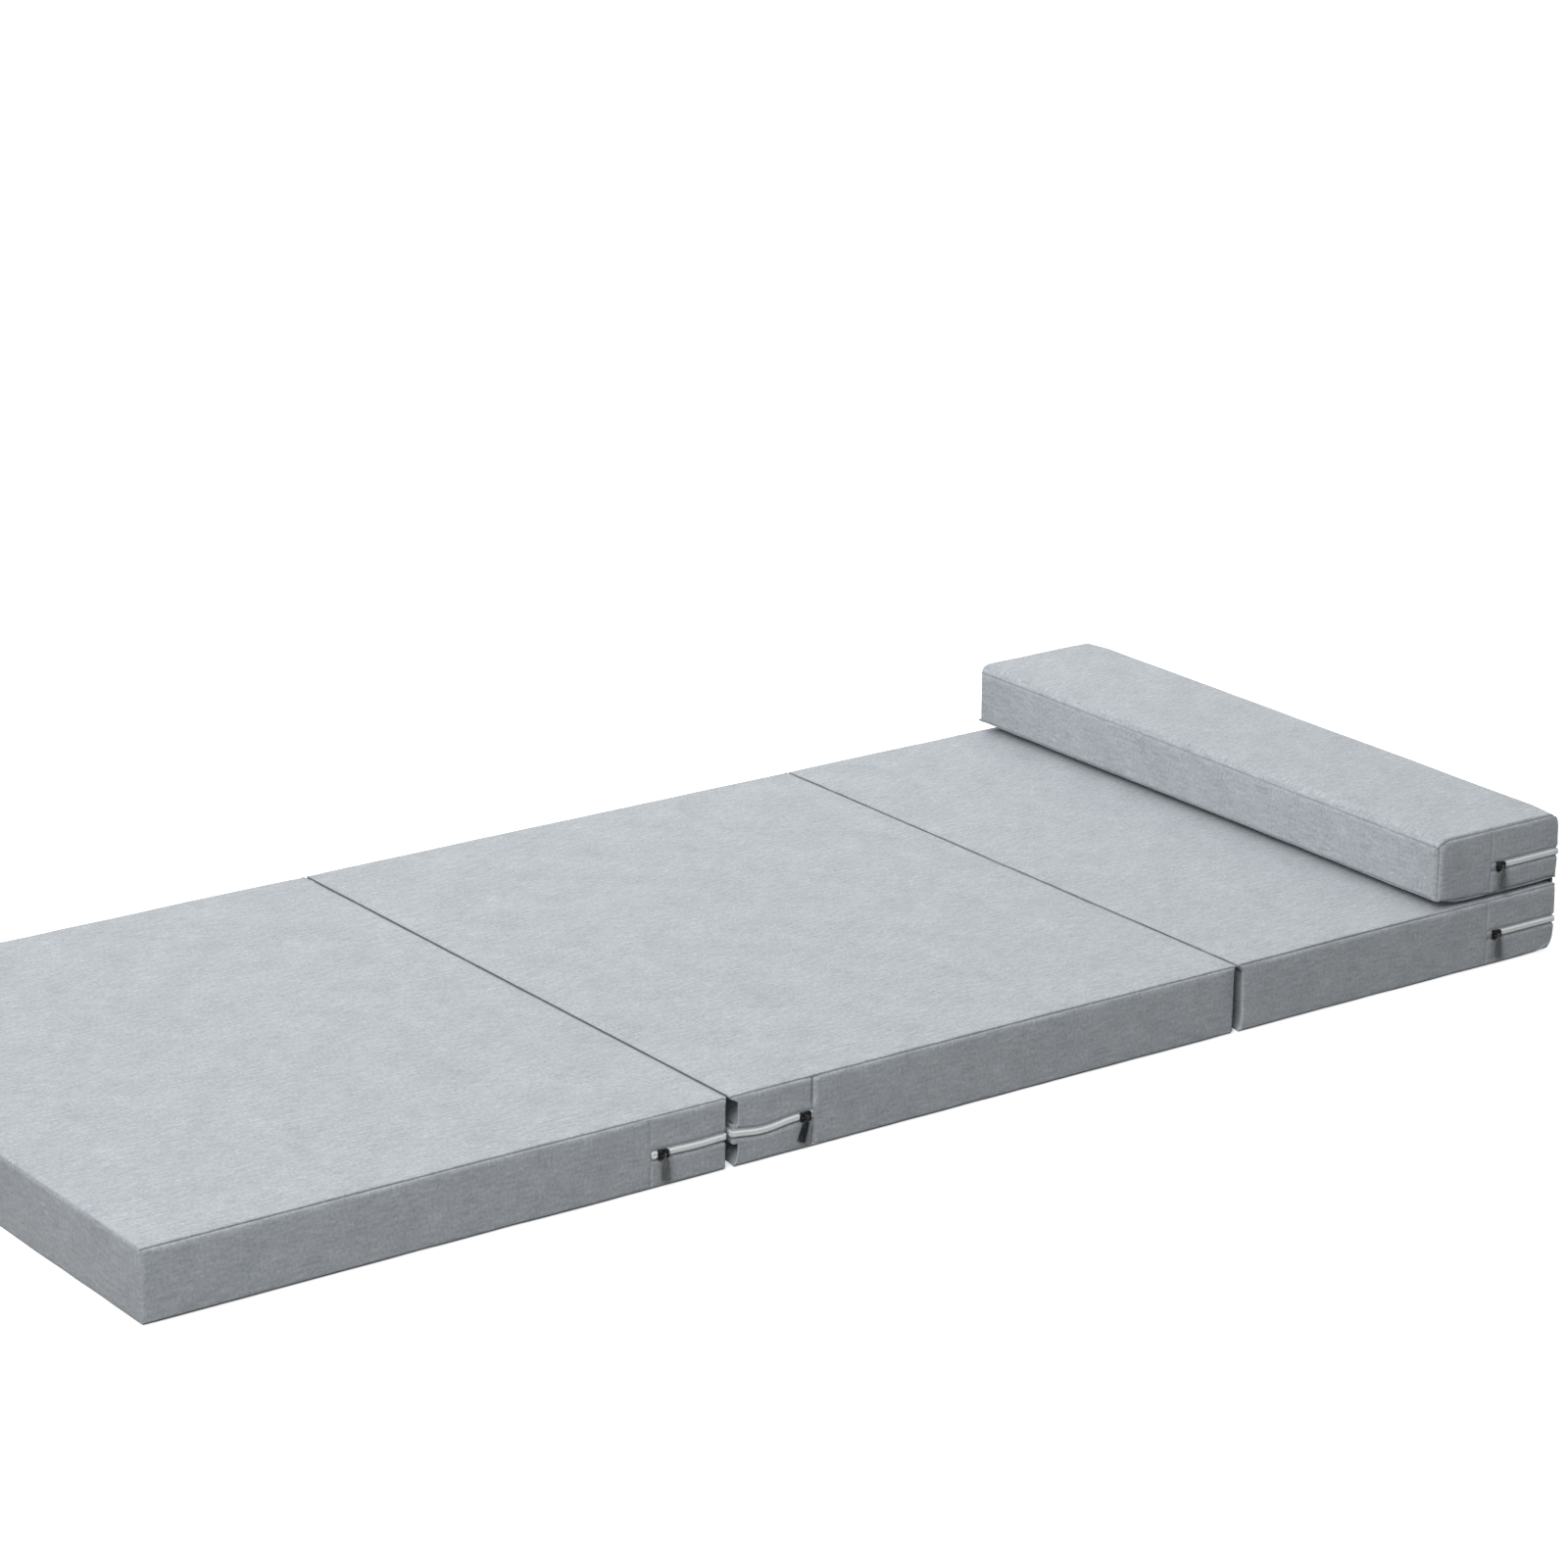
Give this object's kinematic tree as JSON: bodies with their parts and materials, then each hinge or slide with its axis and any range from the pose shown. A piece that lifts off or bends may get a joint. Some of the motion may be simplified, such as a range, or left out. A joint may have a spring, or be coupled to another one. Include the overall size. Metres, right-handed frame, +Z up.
{
  "type": "folding mattress",
  "caption": "Folding foam mattress: zipped sections in a row on fabric hinges, with a narrow headrest folded back over the head end.",
  "frame": {"origin": "on the floor, under the middle of the mattress as it lies open with its headrest folded back", "axes": "+X along the mattress towards the headrest, +Y from the near long side, which has the zip sliders, to the far one, +Z up"},
  "size_m": [1.765, 0.8067, 0.1603],
  "materials": {
    "cover_fabric": "matte",
    "foam": "matte",
    "zip_chain": "satin",
    "zip_slider": "satin",
    "zip_pull": "satin",
    "hinge_welt": "matte"
  },
  "bodies": {
    "foot_section": {"foot_end_panel": "cover_fabric", "foot_far_side_panel": "cover_fabric", "foot_foam_core": "foam", "foot_lower_zip_band": "cover_fabric", "foot_near_side_panel": "cover_fabric", "foot_top_panel": "cover_fabric", "foot_under_panel": "cover_fabric", "foot_upper_zip_band": "cover_fabric", "foot_zip_chain": "zip_chain"},
    "middle_section": {"foot_hinge_welt": "hinge_welt", "head_hinge_welt": "hinge_welt", "middle_end_panel": "cover_fabric", "middle_far_side_panel": "cover_fabric", "middle_foam_core": "foam", "middle_lower_zip_band": "cover_fabric", "middle_near_side_panel": "cover_fabric", "middle_top_panel": "cover_fabric", "middle_under_panel": "cover_fabric", "middle_upper_zip_band": "cover_fabric", "middle_zip_chain": "zip_chain"},
    "head_section": {"head_end_panel": "cover_fabric", "head_far_side_panel": "cover_fabric", "head_foam_core": "foam", "head_lower_zip_band": "cover_fabric", "head_near_side_panel": "cover_fabric", "head_top_panel": "cover_fabric", "head_under_panel": "cover_fabric", "head_upper_zip_band": "cover_fabric", "head_zip_chain": "zip_chain", "headrest_hinge_welt": "hinge_welt"},
    "headrest_section": {"headrest_end_panel": "cover_fabric", "headrest_far_side_panel": "cover_fabric", "headrest_foam_core": "foam", "headrest_lower_zip_band": "cover_fabric", "headrest_near_side_panel": "cover_fabric", "headrest_top_panel": "cover_fabric", "headrest_under_panel": "cover_fabric", "headrest_upper_zip_band": "cover_fabric", "headrest_zip_chain": "zip_chain"},
    "foot_zip_pull": {"foot_zip_pull": "zip_pull"},
    "foot_zip_slider": {"foot_zip_slider": "zip_slider"},
    "head_zip_pull": {"head_zip_pull": "zip_pull"},
    "head_zip_slider": {"head_zip_slider": "zip_slider"},
    "headrest_zip_pull": {"headrest_zip_pull": "zip_pull"},
    "headrest_zip_slider": {"headrest_zip_slider": "zip_slider"},
    "middle_zip_pull": {"middle_zip_pull": "zip_pull"},
    "middle_zip_slider": {"middle_zip_slider": "zip_slider"}
  },
  "joints": [
    {"name": "foot_fold", "type": "hinge", "parent": "middle_section", "child": "foot_section", "pos_m": [-0.2312, 0, 0.08015], "axis": [0, 1, 0], "range_deg": [0, 180]},
    {"name": "head_fold", "type": "hinge", "parent": "middle_section", "child": "head_section", "pos_m": [0.4212, 0, -0.00015], "axis": [0, 1, 0], "range_deg": [0, 180]},
    {"name": "headrest_fold", "type": "hinge", "parent": "head_section", "child": "headrest_section", "pos_m": [0.8836, 0, 0.08015], "axis": [0, 1, 0], "range_deg": [0, 180]},
    {"name": "foot_zip_slide", "type": "slide", "parent": "foot_section", "child": "foot_zip_slider", "axis": [1, 0, 0], "range_m": [0, 0.059], "deforming": ["foot_zip_chain"]},
    {"name": "foot_pull_swing", "type": "hinge", "parent": "foot_zip_slider", "child": "foot_zip_pull", "pos_m": [-0.3094, -0.40435, 0.036], "axis": [-1, 0, 0], "range_deg": [0, 175]},
    {"name": "middle_zip_slide", "type": "slide", "parent": "middle_section", "child": "middle_zip_slider", "axis": [-1, 0, 0], "range_m": [0, 0.073], "deforming": ["middle_zip_chain"]},
    {"name": "middle_pull_swing", "type": "hinge", "parent": "middle_zip_slider", "child": "middle_zip_pull", "pos_m": [-0.139, -0.40435, 0.036], "axis": [-1, 0, 0], "range_deg": [0, 175]},
    {"name": "head_zip_slide", "type": "slide", "parent": "head_section", "child": "head_zip_slider", "axis": [1, 0, 0], "range_m": [0, 0.071], "deforming": ["head_zip_chain"]},
    {"name": "head_pull_swing", "type": "hinge", "parent": "head_zip_slider", "child": "head_zip_pull", "pos_m": [0.7934, -0.40435, 0.036], "axis": [-1, 0, 0], "range_deg": [0, 175]},
    {"name": "headrest_zip_slide", "type": "slide", "parent": "headrest_section", "child": "headrest_zip_slider", "axis": [1, 0, 0], "range_m": [0, 0.071], "deforming": ["headrest_zip_chain"]},
    {"name": "headrest_pull_swing", "type": "hinge", "parent": "headrest_zip_slider", "child": "headrest_zip_pull", "pos_m": [0.7944, -0.40435, 0.1143], "axis": [-1, 0, 0], "range_deg": [0, 175]}
  ]
}
